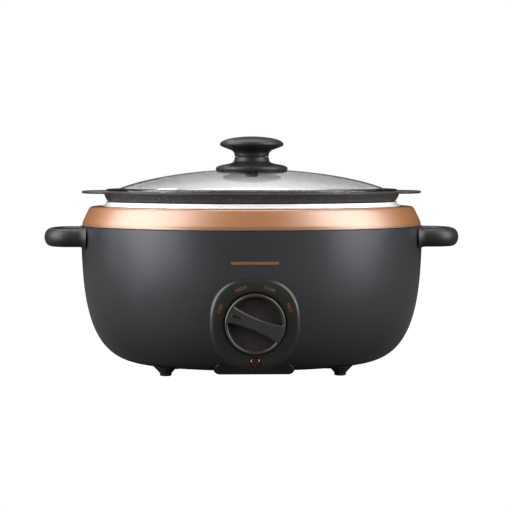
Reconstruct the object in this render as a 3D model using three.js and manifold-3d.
// Oval slow cooker: a heated base with a rotary control, a lift-out casserole pot and a domed glass lid.
// Millimetres, +Z up. The control panel faces -Y, and the origin is on the table under the middle of the oval.
import * as THREE from "three";
import { mergeVertices } from "three/addons/utils/BufferGeometryUtils.js";
import Module from "manifold-3d";

const wasm = await Module();
wasm.setup();

// ---- driving dimensions ----

const OVAL_STEP = 38; // how much further every oval reaches along X than along Y
const OVAL_SEGMENTS = 36;
const GAP = 0.3; // clearance between pieces that rest on each other

const BODY = { reach: 185, top: 156, bottom: 7, draft: 3.5, tuck: 86, fullness: 3.3, wall: 3 };
const BASE_OPENING = { reach: 110.4, ledge: 100, ledgeBottom: 9.8, ledgeTop: 12.3 };
const CHIN = {
  front: -112, half: 41.6, shoulder: 10, halfBottom: 38, bottom: 6.4, cut: 13.5, slope: 16, top: 50, bevel: 1.5,
  lean: 0.75,
  leanFrom: 21,
};
const TRIM = { bottom: 156.5, top: 176.9, foot: 183.4, shoulder: 176.6, mouth: 162, wall: 3 };
const FEET = { x: 92, y: 60, padRadius: 6.3, padHeight: 3, coneRadius: 13.5, coneTop: 10 };

const HANDLE = { height: 144.2, legY: 40, reach: 224, halfTall: 9.05, halfWide: 6.5 };

const PANEL = { height: 64, half: 46, power: 2.4, face: -149, floor: -143, wall: 3, bevel: 3 };
const DIAL = { radius: 30.2, recess: 31.5, front: -158.5, back: -145.5, pocketDepth: 6.5, bore: 3.3 };
const POINTER_TURN = THREE.MathUtils.degToRad(160); // at rest the pointer stands at OFF, up and to the left
const LAMP = { height: 25.3, radius: 5.2, front: -150.2 };
const SWITCH = { front: -142.6, back: -121, half: 15 };
const SHAFT = { radius: 3, inner: -129, outer: -155 };

const LINER = { top: 182.3, lip: 178.4, wall: 1.5, upper: 157.5, lower: 151, knee: 80, floorReach: 117, floor: 44.5 };
const HEATER = { bottom: 84, top: 122, thickness: 3 };

const POT = { rim: 194, wall: 3.2, upper: 153.4, lower: 147.5, knee: 84, floorReach: 115.5, floor: 50.5 };
const EAR = { centre: 148, halfLong: 36, halfWide: 46, bottom: 190.2 };

const LID = { brim: 157.8, brimBottom: 192.2, brimTop: 195.7, dome: 144, rise: 21.5, power: 0.82, glass: 4 };
const KNOB_JOIN = 230.4; // height where the knob's cap meets its base
const GLAND = { height: 60, end: 156, bore: 4.2, sleeve: 8, flange: 11 };

// ---- materials ----

function finish(color, roughness, metalness = 0) {
  return new THREE.MeshStandardMaterial({ color, roughness, metalness });
}

const FINISHES = {
  charcoal: finish(0x3c3d41, 0.45),
  copper: finish(0xc98f63, 0.32, 0.8),
  handleBlack: finish(0x1d1d1e, 0.35),
  panelBlack: finish(0x242420, 0.4),
  steel: finish(0xb9bcbf, 0.3, 0.9),
  aluminium: finish(0xe6e7ea, 0.35, 0.9),
  nonStick: finish(0x34322f, 0.5),
  glass: new THREE.MeshStandardMaterial({ color: 0xdfe6e2, roughness: 0.05, transparent: true, opacity: 0.35 }),
  silicone: finish(0x6b6b6b, 0.7),
  rubber: finish(0x151515, 0.9),
  redLens: finish(0x7c1420, 0.15),
  ceramic: finish(0xe9e4da, 0.6),
  mica: finish(0xa58a5c, 0.7),
  copperWire: finish(0x8a3b2a, 0.6),
  sleeveWhite: finish(0xd9d5cb, 0.7),
};

// ---- solids ----

// A closed three.js geometry as a solid, with its faces turned out.
function solid(geometry) {
  const bare = geometry.index ? geometry.clone() : mergeVertices(geometry);
  bare.deleteAttribute("normal");
  bare.deleteAttribute("uv");
  const merged = mergeVertices(bare, 1e-4);
  const vertProperties = merged.attributes.position.array;
  const triVerts = new Uint32Array(merged.index.array);
  const made = new wasm.Manifold(new wasm.Mesh({ numProp: 3, vertProperties, triVerts }));
  if (made.volume() > 0) return made;
  return new wasm.Manifold(new wasm.Mesh({ numProp: 3, vertProperties, triVerts: triVerts.reverse() }));
}

function surface(made) {
  const mesh = made.getMesh();
  const positions = new Float32Array(mesh.numVert * 3);
  for (let i = 0; i < mesh.numVert; i++) {
    positions.set(mesh.vertProperties.subarray(i * mesh.numProp, i * mesh.numProp + 3), i * 3);
  }
  const geometry = new THREE.BufferGeometry();
  geometry.setAttribute("position", new THREE.BufferAttribute(positions, 3));
  geometry.setIndex(new THREE.BufferAttribute(mesh.triVerts, 1));
  geometry.computeVertexNormals();
  return geometry;
}

// A round body about the Z axis from [radius, height] points.
function round(profile, segments = 20) {
  const points = profile.map(([r, z]) => new THREE.Vector2(r, z));
  return new THREE.LatheGeometry(points, segments).rotateX(Math.PI / 2);
}

// An oval body: every ring reaches its profile radius along X and OVAL_STEP less along Y. Rings inside
// fold keep the proportions of the fold ring, so that they close on the axis.
function oval(profile, fold, segments = OVAL_SEGMENTS) {
  const geometry = round(profile, segments);
  const at = geometry.attributes.position;
  for (let i = 0; i < at.count; i++) {
    const reach = Math.hypot(at.getX(i), at.getY(i));
    if (reach < 1e-6) continue;
    const squeeze = reach > fold ? (reach - OVAL_STEP) / reach : (fold - OVAL_STEP) / fold;
    at.setY(i, at.getY(i) * squeeze);
  }
  return geometry;
}

// A cylinder along Y from y0 to y1, on the axis through x and z.
function rodY(radius, y0, y1, x = 0, z = 0, segments = 20) {
  return new THREE.CylinderGeometry(radius, radius, y1 - y0, segments).translate(x, (y0 + y1) / 2, z);
}

function rodZ(radius, z0, z1, x = 0, y = 0, segments = 12) {
  return new THREE.CylinderGeometry(radius, radius, z1 - z0, segments)
    .rotateX(Math.PI / 2)
    .translate(x, y, (z0 + z1) / 2);
}

function rodX(radius, x0, x1, y = 0, z = 0, segments = 12) {
  return new THREE.CylinderGeometry(radius, radius, x1 - x0, segments)
    .rotateZ(Math.PI / 2)
    .translate((x0 + x1) / 2, y, z);
}

// A flat outline in X and Z, extruded along Y from front to back with its edges bevelled.
function slabY(shape, front, back, bevel) {
  const options = {
    depth: back - front - 2 * bevel,
    curveSegments: 10,
    bevelEnabled: bevel > 0,
    bevelSize: bevel,
    bevelOffset: -bevel,
    bevelThickness: bevel,
    bevelSegments: 2,
  };
  return new THREE.ExtrudeGeometry(shape, options).rotateX(Math.PI / 2).translate(0, back - bevel, 0);
}

function tube(points, radius, sides, steps) {
  const section = new THREE.Shape().absarc(0, 0, radius, 0, 2 * Math.PI);
  const extrudePath = new THREE.CatmullRomCurve3(points.map((p) => new THREE.Vector3(...p)));
  return new THREE.ExtrudeGeometry(section, { steps, curveSegments: sides, bevelEnabled: false, extrudePath });
}

// ---- the body's curve ----

// Points down the body's side from its top edge to its flat underside, skin inside the outer face.
function bodyCurve(skin, steps = 10) {
  const points = [];
  for (let i = 0; i <= steps; i++) {
    const turn = (i / steps) * (Math.PI / 2);
    const drop = Math.sin(turn) ** (2 / BODY.fullness);
    const tuck = 1 - Math.max(0, Math.cos(turn)) ** (2 / BODY.fullness);
    const reach = BODY.reach - skin - BODY.draft * drop - BODY.tuck * tuck;
    points.push([reach, BODY.top - (BODY.top - BODY.bottom - skin) * drop]);
  }
  return points;
}

const BODY_FOLD = BODY.reach - BODY.draft - BODY.tuck; // where the underside turns flat

// The body as if it were solid, from the table side up to height top.
function bodySolid(skin, top = BODY.top) {
  const side = bodyCurve(skin);
  const [flatReach, flatHeight] = side[side.length - 1];
  const profile = [[0, top], [side[0][0], top], ...(top > BODY.top ? side : side.slice(1))];
  return solid(oval([...profile, [flatReach, flatHeight], [0, flatHeight]].filter(distinct), BODY_FOLD - skin));
}

function distinct(point, index, all) {
  return index === 0 || point[0] !== all[index - 1][0] || point[1] !== all[index - 1][1];
}

// The chin that the body grows under the control panel, inset by skin on every side.
function chinSolid(skin) {
  const { slope, top } = CHIN;
  const half = CHIN.half - skin;
  const cut = CHIN.cut - skin * 0.4;
  const right = [
    [CHIN.halfBottom - skin * 0.6, CHIN.bottom + skin],
    [half, CHIN.shoulder + skin * 0.4],
    [half, cut],
    [half - slope, cut + slope],
    [half - slope, top],
  ];
  const left = right.map(([x, z]) => [-x, z]).reverse();
  const shape = new THREE.Shape([...left, ...right].map(([x, z]) => new THREE.Vector2(x, z)));
  const block = solid(slabY(shape, CHIN.front + skin, -85, skin < 0.5 ? CHIN.bevel : 0));
  // The front leans back towards the foot of the chin.
  return block.warp((point) => {
    if (point[1] < -90) point[1] += CHIN.lean * Math.max(0, CHIN.leanFrom - point[2]);
  });
}

// Points of a rounded square outline that is 2 * half wide.
function superellipse(half, power, points = 36) {
  const outline = [];
  for (let i = 0; i < points; i++) {
    const angle = (i / points) * 2 * Math.PI;
    const [c, s] = [Math.cos(angle), Math.sin(angle)];
    const x = half * Math.sign(c) * Math.abs(c) ** (2 / power);
    const z = half * Math.sign(s) * Math.abs(s) ** (2 / power);
    outline.push(new THREE.Vector2(x, z));
  }
  return outline;
}

// ---- base: shells ----

const FOOT_PLACES = [
  ["front_left", -FEET.x, -FEET.y],
  ["front_right", FEET.x, -FEET.y],
  ["rear_left", -FEET.x, FEET.y],
  ["rear_right", FEET.x, FEET.y],
];

const BASE_SCREW_PLACES = [40, 140, 220, 320].map((degrees) => {
  const angle = THREE.MathUtils.degToRad(degrees);
  return [105 * Math.cos(angle), (105 - OVAL_STEP) * Math.sin(angle)];
});

const HANDLE_SCREW_PLACES = [
  ["left_front", -1, -HANDLE.legY],
  ["left_rear", -1, HANDLE.legY],
  ["right_front", 1, -HANDLE.legY],
  ["right_rear", 1, HANDLE.legY],
];

function outerHousing() {
  const coneFoot = FEET.padHeight + 0.4;
  const cone = [[0, coneFoot], [7, coneFoot], [7.6, 4.4], [FEET.coneRadius, FEET.coneTop], [0, 12]];
  let shell = bodySolid(0).add(chinSolid(0));
  for (const [, x, y] of FOOT_PLACES) shell = shell.add(solid(round(cone, 16).translate(x, y, 0)));
  shell = shell.subtract(bodySolid(BODY.wall, BODY.top + 5)).subtract(chinSolid(BODY.wall));
  const opening = [[0, 0], [BASE_OPENING.reach, 0], [BASE_OPENING.reach, 20], [0, 20]];
  shell = shell.subtract(solid(oval(opening, 90)));
  const { ledge, ledgeBottom, ledgeTop } = BASE_OPENING;
  const ledgeRing = [
    [ledge, ledgeBottom], [118, ledgeBottom], [118, ledgeTop], [ledge, ledgeTop], [ledge, ledgeBottom],
  ];
  shell = shell.add(solid(oval(ledgeRing, 60)));
  for (const [x, y] of BASE_SCREW_PLACES) shell = shell.subtract(solid(rodZ(2.2, 5, 16, x, y, 10)));
  for (const [, x, y] of FOOT_PLACES) shell = shell.subtract(solid(rodZ(3.3, 2, 7.5, x, y, 10)));
  for (const [, side, y] of HANDLE_SCREW_PLACES) {
    shell = shell.subtract(solid(rodX(2.4, 165, 190, y, HANDLE.height, 10).scale(side, 1, 1)));
  }
  shell = shell.subtract(solid(rodY(26, -150, -100, 0, PANEL.height, 24)));
  shell = shell.subtract(solid(rodY(7.5, -150, -100, 0, LAMP.height, 14)));
  return shell.subtract(solid(rodY(GLAND.sleeve + GAP, 100, 150, 0, GLAND.height, 16)));
}

function trimBand() {
  const { bottom, top, foot, shoulder, mouth, wall } = TRIM;
  return oval(
    [
      [foot, bottom], [foot, bottom + 4], [foot - 1.8, bottom + 7.7],
      [shoulder, top - 2.3], [shoulder - 1.2, top - 0.7], [shoulder - 3.2, top],
      [mouth, top], [mouth, top - wall], [shoulder - 4.2, top - wall],
      [foot - 4.7, bottom + 6.2], [foot - wall, bottom + 3], [foot - wall, bottom], [foot, bottom],
    ],
    60,
  );
}

function baseCover() {
  const { reach } = BASE_OPENING;
  const edge = reach - 0.5;
  let plate = solid(oval([[0, 7], [edge - 1, 7], [edge, 8], [edge, 9.4], [0, 9.4]], 80));
  for (const [x, y] of BASE_SCREW_PLACES) plate = plate.subtract(solid(rodZ(2.4, 5, 12, x, y, 10)));
  for (const x of [-45, -30, -15, 15, 30, 45]) {
    const slot = new THREE.BoxGeometry(4, 34, 8).translate(x, 0, 8);
    plate = plate.subtract(solid(slot));
  }
  return plate.subtract(solid(rodZ(3, 5, 12, 0, 0, 10)));
}

function footPad() {
  const { padRadius, padHeight } = FEET;
  const profile = [
    [0, 0], [padRadius - 0.6, 0], [padRadius, 0.7], [padRadius, padHeight], [3, padHeight], [3, 7], [0, 7],
  ];
  return round(profile, 16);
}

// One half-loop handle on the +X side, with flared feet that fit the body.
function carryHandle() {
  const { height, legY, reach, halfTall, halfWide } = HANDLE;
  const far = reach - halfWide;
  const route = [
    [168, -legY], [192, -legY], [207, -34], [far - 1.2, -16], [far, 0],
    [far - 1.2, 16], [207, 34], [192, legY], [168, legY],
  ];
  const section = new THREE.Shape().absellipse(0, 0, halfTall, halfWide, 0, 2 * Math.PI);
  const extrudePath = new THREE.CatmullRomCurve3(route.map(([x, y]) => new THREE.Vector3(x, y, height)));
  const bar = { steps: 14, curveSegments: 7, bevelEnabled: false, extrudePath };
  let handle = solid(new THREE.ExtrudeGeometry(section, bar));
  for (const y of [-legY, legY]) {
    const flare = new THREE.CylinderGeometry(9.2, 11.8, 14, 16).rotateZ(-Math.PI / 2).scale(1, 0.78, 1);
    handle = handle.add(solid(flare.translate(178.5, y, height)));
  }
  handle = handle.subtract(bodySolid(-GAP));
  for (const y of [-legY, legY]) handle = handle.subtract(solid(rodX(2.2, 160, 191, y, height, 10)));
  return handle;
}

// ---- base: control panel ----

// The panel moulding: a cup whose sides run back to the body and the chin, with a round well for the dial.
function controlBezel() {
  const { height, half, power, face, floor, wall, bevel } = PANEL;
  const block = (size, front, back, round) => {
    const slab = slabY(new THREE.Shape(superellipse(size, power)), front, back, round);
    return solid(slab.translate(0, 0, height));
  };
  const cup = solid(rodY(DIAL.recess + wall, face + 1, floor + wall, 0, height, 28));
  let bezel = block(half, face, -95, bevel).subtract(block(half - wall, face + wall, -90, 0).subtract(cup));
  bezel = bezel.subtract(bodySolid(-GAP)).subtract(chinSolid(-GAP));
  bezel = bezel.subtract(solid(rodY(DIAL.recess, face - 5, floor, 0, height, 32)));
  bezel = bezel.subtract(solid(rodY(6.4, floor - 2, floor + 8, 0, height, 14)));
  bezel = bezel.subtract(solid(rodY(LAMP.radius + GAP, face - 2, face + 10, 0, LAMP.height, 18)));
  for (const x of SWITCH_SCREWS) {
    bezel = bezel.subtract(solid(rodY(1.9, floor - 2, floor + 8, x, height, 10)));
  }
  return bezel;
}

// Lens cap of the indicator, open at the back for the lamp.
function indicatorLens() {
  const { radius, front, height } = LAMP;
  const cap = [[0, 0], [3.4, 0.3], [radius - 0.4, 1.1], [radius, 2], [radius, 7], [3.8, 7], [3.8, 3], [0, 3]];
  return round(cap, 18).rotateX(-Math.PI / 2).translate(0, front, height);
}

const SWITCH_SCREWS = [-11, 11];

function rotarySwitch() {
  const { front, back, half } = SWITCH;
  const neckEnd = front - 0.8;
  const box = new THREE.BoxGeometry(2 * half, back - front - 3, 2 * half);
  const body = solid(box.translate(0, (front + back + 3) / 2, PANEL.height));
  const neck = solid(rodY(6, neckEnd, front + 5, 0, PANEL.height, 14));
  const bore = solid(rodY(SHAFT.radius + GAP, neckEnd - 2, SHAFT.inner + 1, 0, PANEL.height, 14));
  let made = body.add(neck).subtract(bore);
  for (const x of SWITCH_SCREWS) {
    made = made.subtract(solid(rodY(1.8, front - 1, front + 11, x, PANEL.height, 10)));
  }
  return made;
}

// ---- base: heating chamber ----

// A quarter bend from an upright wall down to a flat floor, as [radius, height] points.
function bend(centreReach, centreHeight, wide, deep, steps = 4) {
  const points = [];
  for (let i = 0; i <= steps; i++) {
    const angle = (i / steps) * (Math.PI / 2);
    points.push([centreReach + wide * Math.cos(angle), centreHeight - deep * Math.sin(angle)]);
  }
  return points;
}

function innerLiner() {
  const { top, lip, wall, upper, lower, knee, floorReach, floor } = LINER;
  const outer = bend(floorReach, knee, lower - floorReach, knee - floor);
  const inner = bend(floorReach, knee, lower - wall - floorReach, knee - wall - floor).reverse();
  return oval(
    [
      [upper - wall, top], [upper + GAP, top], [upper + 0.6, lip], [upper + 6, lip], [upper + 6, lip - 1.1],
      [upper, lip - 1.1], ...outer, [0, floor], [0, floor + wall], ...inner, [upper - wall, top],
    ],
    floorReach,
  );
}

// Reach of the chamber's outer wall at height z.
function linerReach(z) {
  const share = (z - LINER.knee) / (LINER.lip - LINER.knee);
  return LINER.lower + (LINER.upper - LINER.lower) * share;
}

function heaterBand() {
  const { bottom, top, thickness } = HEATER;
  const [low, high] = [linerReach(bottom) + 0.5, linerReach(top) + 0.5];
  const profile = [
    [low, bottom], [low + thickness, bottom], [high + thickness, top], [high, top], [low, bottom],
  ];
  return oval(profile, 60);
}

// ---- pot ----

function cookingPot() {
  const { rim, wall, upper, lower, knee, floorReach, floor } = POT;
  const outer = bend(floorReach, knee, lower - floorReach, knee - floor).reverse();
  const inner = bend(floorReach, knee, lower - wall - floorReach, knee - floor - wall);
  const lipReach = upper + 8.4;
  const shell = oval(
    [
      [0, floor], ...outer, [upper, rim - 11.4], [upper + 3, rim - 11.1], [upper + 5.6, rim - 9.8],
      [upper + 7.6, rim - 7], [lipReach, rim - 4], [lipReach, rim - 1.4], [lipReach - 0.8, rim],
      [lipReach - 2.9, rim], [lipReach - 3.2, rim - 2.2], [upper - 2.8, rim - 2.4], [upper - 4.2, rim - 10],
      ...inner, [0, floor + wall],
    ],
    floorReach,
  );
  const { centre, halfLong, halfWide, bottom } = EAR;
  const plate = [[0, bottom], [0.95, bottom], [1, bottom + 1.2], [1, rim - 1.2], [0.96, rim], [0, rim]];
  const lipInside = lipReach - 1.2;
  const keepOut = solid(oval([[0, bottom - 5], [lipInside, bottom - 5], [lipInside, rim + 5], [0, rim + 5]], 60));
  let pot = solid(shell);
  for (const side of [-1, 1]) {
    const ear = round(plate, 28).scale(halfLong, halfWide, 1).translate(side * centre, 0, 0);
    pot = pot.add(solid(ear).subtract(keepOut));
  }
  return pot;
}

// ---- lid ----

function lidGlass() {
  const { brim, brimBottom, brimTop, dome, rise, power, glass } = LID;
  const springing = brimTop - 0.2;
  const top = [];
  const underside = [];
  for (const share of [0.028, 0.3, 0.5, 0.66, 0.79, 0.89, 0.955]) {
    top.push([share * dome, springing + rise * (1 - share ** 2) ** power]);
    underside.push([share * (dome - 3.5), springing - glass + rise * (1 - share ** 2) ** power]);
  }
  const edge = [
    [dome, brimTop + 0.8], [dome + 3, brimTop], [brim - 1.4, brimTop], [brim, brimTop - 1],
    [brim, brimBottom + 1], [brim - 1.4, brimBottom], [dome - 3, brimBottom],
  ];
  return oval([...top, ...edge, ...underside.reverse(), top[0]], dome);
}

const KNOB_BORE = 3.2;

function knobBase() {
  return round(
    [
      [KNOB_BORE, 219.1], [33, 219.1], [35.6, 216.4], [38.4, 216.6], [39.3, 218], [38.2, 219.5],
      [33.7, 221.4], [24, 223], [20, 224.4], [18.8, 226.4], [18.4, KNOB_JOIN - 0.2],
      [KNOB_BORE, KNOB_JOIN - 0.2], [KNOB_BORE, 219.1],
    ],
    24,
  );
}

function knobCap() {
  return round(
    [
      [KNOB_BORE, KNOB_JOIN + 0.2], [18.4, KNOB_JOIN + 0.2], [18.8, 234.2], [21.4, 237.4], [31, 240.9],
      [33.9, 242.3], [34.7, 244.2], [33.6, 246.2], [29.5, 248.6], [21, 251], [0, 252.4],
      [0, 238], [KNOB_BORE, 238], [KNOB_BORE, KNOB_JOIN + 0.2],
    ],
    24,
  );
}

// ---- dial ----

// One of the two finger pockets beside the grip bar, in the dial's own plane with the bar along X.
function pocketShape() {
  const rimRadius = DIAL.radius - 2.6;
  const barEnd = 9;
  const corner = Math.asin(barEnd / rimRadius);
  const x = rimRadius * Math.cos(corner);
  const shape = new THREE.Shape();
  shape.moveTo(x, barEnd);
  shape.absarc(0, 0, rimRadius, corner, Math.PI - corner);
  shape.quadraticCurveTo(0, 3, x, barEnd);
  return shape;
}

function controlDial() {
  const { radius, front, back, pocketDepth, bore } = DIAL;
  const thickness = back - front;
  const profile = [
    [0, 0], [radius - 1, 0], [radius, 1], [radius, thickness - 1.6], [radius - 1.6, thickness], [0, thickness],
  ];
  const disc = round(profile, 32);
  let dial = solid(disc);
  for (const turn of [0, Math.PI]) {
    const pocket = new THREE.ExtrudeGeometry(pocketShape(), { depth: 20, bevelEnabled: false, curveSegments: 12 });
    dial = dial.subtract(solid(pocket.rotateZ(turn).translate(0, 0, thickness - pocketDepth)));
  }
  dial = dial.subtract(solid(new THREE.BoxGeometry(11, 1.6, 3).translate(21.2, 0, thickness)));
  dial = dial.subtract(solid(rodZ(bore, -1, thickness - 3, 0, 0, 14)));
  return surface(dial).rotateZ(POINTER_TURN).rotateX(Math.PI / 2).translate(0, back, PANEL.height);
}

// The switch shaft, with a flat along its outer end for the spring clip.
function switchShaft() {
  const { radius, inner, outer } = SHAFT;
  const flat = new THREE.BoxGeometry(4, 7.5, 10).translate(4, outer + 3.7, PANEL.height);
  return solid(rodY(radius, outer, inner, 0, PANEL.height, 14)).subtract(solid(flat));
}

// ---- fasteners and small parts ----

// A screw along +Z with its head under the origin.
function screw(shankRadius, length, headRadius, headHeight) {
  const profile = [
    [0, -headHeight],
    [headRadius * 0.8, -headHeight],
    [headRadius, -headHeight * 0.6],
    [headRadius, 0],
    [shankRadius, 0],
    [shankRadius, length],
    [0, length],
  ];
  return round(profile, 8);
}

function hexNut(acrossCorners, height, bore) {
  const body = solid(rodZ(acrossCorners / 2, 0, height, 0, 0, 6));
  return body.subtract(solid(rodZ(bore, -1, height + 1, 0, 0, 10)));
}

// The socket for the supply cord: a sleeve through the rear wall behind a flange that fits the wall.
function cordGland() {
  const { height, end, bore, sleeve, flange } = GLAND;
  const section = [
    [bore, 130], [sleeve, 130], [sleeve, 134], [flange, 134], [flange, 142.6],
    [flange - 3.6, 144.2], [sleeve - 1.6, end], [bore, end], [bore, 130],
  ];
  const wall = bodySolid(-GAP).subtract(solid(rodY(sleeve, 100, 160, 0, height, 20)));
  const gland = round(section, 20).rotateX(-Math.PI / 2).translate(0, 0, height);
  return solid(gland).subtract(wall);
}

// ---- assembly ----

// A named mesh from a solid or from a closed three.js geometry.
function node(name, shape, material, position = [0, 0, 0], rotation = [0, 0, 0]) {
  const mesh = new THREE.Mesh(surface(shape.isBufferGeometry ? solid(shape) : shape), material);
  mesh.name = name;
  mesh.position.set(...position);
  mesh.rotation.set(...rotation);
  return mesh;
}

const cooker = new THREE.Group();
const base = new THREE.Group();
const dial = new THREE.Group();
const pot = new THREE.Group();
const lid = new THREE.Group();
cooker.add(base, dial, pot, lid);

base.add(
  node("outer_housing", outerHousing(), FINISHES.charcoal),
  node("trim_band", trimBand(), FINISHES.copper),
  node("base_cover", baseCover(), FINISHES.panelBlack),
  node("right_handle", carryHandle(), FINISHES.handleBlack),
  node("left_handle", carryHandle(), FINISHES.handleBlack, [0, 0, 0], [0, 0, Math.PI]),
  node("control_bezel", controlBezel(), FINISHES.panelBlack),
  node("indicator_lens", indicatorLens(), FINISHES.redLens),
  node("rotary_switch", rotarySwitch(), FINISHES.ceramic),
  node("inner_liner", innerLiner(), FINISHES.aluminium),
  node("heater_band", heaterBand(), FINISHES.mica),
  node("cord_gland", cordGland(), FINISHES.handleBlack),
);

for (const [place, x, y] of FOOT_PLACES) {
  base.add(node(`foot_pad_${place}`, footPad(), FINISHES.rubber, [x, y, 0]));
}
BASE_SCREW_PLACES.forEach(([x, y], i) => {
  base.add(node(`base_screw_${i + 1}`, screw(1.9, 8, 4, 1.8), FINISHES.steel, [x, y, 6.7]));
});
for (const [place, side, y] of HANDLE_SCREW_PLACES) {
  const turn = [0, side * (Math.PI / 2), 0];
  const seat = [side * 172, y, HANDLE.height];
  base.add(node(`handle_screw_${place}`, screw(1.9, 16, 3.8, 2), FINISHES.steel, seat, turn));
}
SWITCH_SCREWS.forEach((x, i) => {
  const place = [x, PANEL.floor - 0.3, PANEL.height];
  base.add(node(`switch_screw_${i + 1}`, screw(1.4, 8, 3, 1.6), FINISHES.steel, place, [-Math.PI / 2, 0, 0]));
});

// The chamber is drawn down to the base cover by a stud under its middle.
base.add(
  node("liner_stud", rodZ(2.5, 4.2, LINER.floor - GAP), FINISHES.steel),
  node("stud_nut", hexNut(9, 2.4, 2.8), FINISHES.steel, [0, 0, 4.3]),
);

// Thermal cut-out held under the chamber's floor by a clip.
const CUTOUT = { x: 34, y: 18, top: LINER.floor - GAP };
base.add(
  node("thermal_cutout", rodX(3.2, -11, 11, 0, 0, 12), FINISHES.ceramic, [CUTOUT.x, CUTOUT.y, CUTOUT.top - 3.4]),
  node("cutout_clip", cutoutClip(), FINISHES.steel, [CUTOUT.x, CUTOUT.y, CUTOUT.top]),
);

function cutoutClip() {
  const profile = new THREE.Shape();
  profile.moveTo(-10, 0).lineTo(-10, -0.8).lineTo(-4.6, -0.8).lineTo(-4.6, -7.9).lineTo(4.6, -7.9);
  profile.lineTo(4.6, -0.8).lineTo(10, -0.8).lineTo(10, 0).lineTo(3.8, 0).lineTo(3.8, -7.1);
  profile.lineTo(-3.8, -7.1).lineTo(-3.8, 0).closePath();
  const plate = new THREE.ExtrudeGeometry(profile, { depth: 7, bevelEnabled: false });
  return plate.rotateX(Math.PI / 2).rotateZ(Math.PI / 2);
}

// Two terminal tabs stand out of the heater band on the right of the switch.
const TERMINALS = [
  ["heater_terminal_live", 52, -108.6],
  ["heater_terminal_neutral", 70, -103.2],
];
for (const [name, x, y] of TERMINALS) {
  base.add(node(name, new THREE.BoxGeometry(6, 8, 14), FINISHES.steel, [x, y - 7.5, HEATER.bottom + 10]));
}

// Neon lamp behind the lens.
const lampCapsule = [[0, -9], [2, -8.4], [2.8, -6.5], [2.8, 6], [1.6, 8], [0, 8.4]];
base.add(node("neon_lamp", round(lampCapsule, 12).rotateX(-Math.PI / 2), FINISHES.glass, [0, -137.6, LAMP.height]));

// Insulated leads, run between the chamber and the body's wall.
const LEADS = [
  [
    "lead_supply_to_switch",
    [[3, 128, 57], [16, 118, 48], [44, 104, 36], [92, 70, 30], [118, 0, 32], [96, -66, 30], [46, -104, 34],
      [12, -114, 40], [9, -113, 52], [9, -119.6, 56]],
  ],
  [
    "lead_supply_to_heater",
    [[-3, 128, 61], [-18, 118, 50], [-48, 102, 34], [-96, 66, 28], [-118, 0, 30], [-96, -64, 28], [-40, -96, 24],
      [20, -100, 20], [60, -90, 22], [70, -104, 40], [70.5, -112, 62], [70, -110.7, 86.5]],
  ],
  ["lead_switch_to_heater", [[9, -119.6, 70], [16, -114.5, 66], [36, -116.5, 62], [50, -117.5, 68], [52, -116.1, 86.5]]],
  ["lead_switch_to_lamp", [[-10, -119.6, 56], [-10, -112, 49], [-8, -108, 32], [-1, -113, 25.5], [0, -128.7, 25.3]]],
];
for (const [name, route] of LEADS) {
  base.add(node(name, tube(route, 1.2, 3, 12), FINISHES.sleeveWhite));
}

dial.add(
  node("control_dial", controlDial(), FINISHES.panelBlack),
  node("switch_shaft", switchShaft(), FINISHES.steel),
  node("dial_clip", new THREE.BoxGeometry(0.5, 6, 2.6), FINISHES.steel, [2.55, SHAFT.outer + 4, PANEL.height]),
);

pot.add(node("cooking_pot", cookingPot(), FINISHES.nonStick));

const KNOB_SCREW_HEAD = 209.6;
lid.add(
  node("lid_glass", lidGlass(), FINISHES.glass),
  node("knob_base", knobBase(), FINISHES.handleBlack),
  node("knob_cap", knobCap(), FINISHES.handleBlack),
  node("knob_gasket", round([[4.6, 217.4], [15, 217.4], [15, 218.8], [4.6, 218.8], [4.6, 217.4]], 20), FINISHES.silicone),
  node("knob_washer", round([[3.2, 210.6], [10.5, 210.6], [10.5, 212.2], [3.2, 212.2], [3.2, 210.6]], 20), FINISHES.silicone),
  node("knob_screw", screw(2.6, 27, 7.4, 3.4), FINISHES.steel, [0, 0, KNOB_SCREW_HEAD + 0.7]),
);

export default cooker;
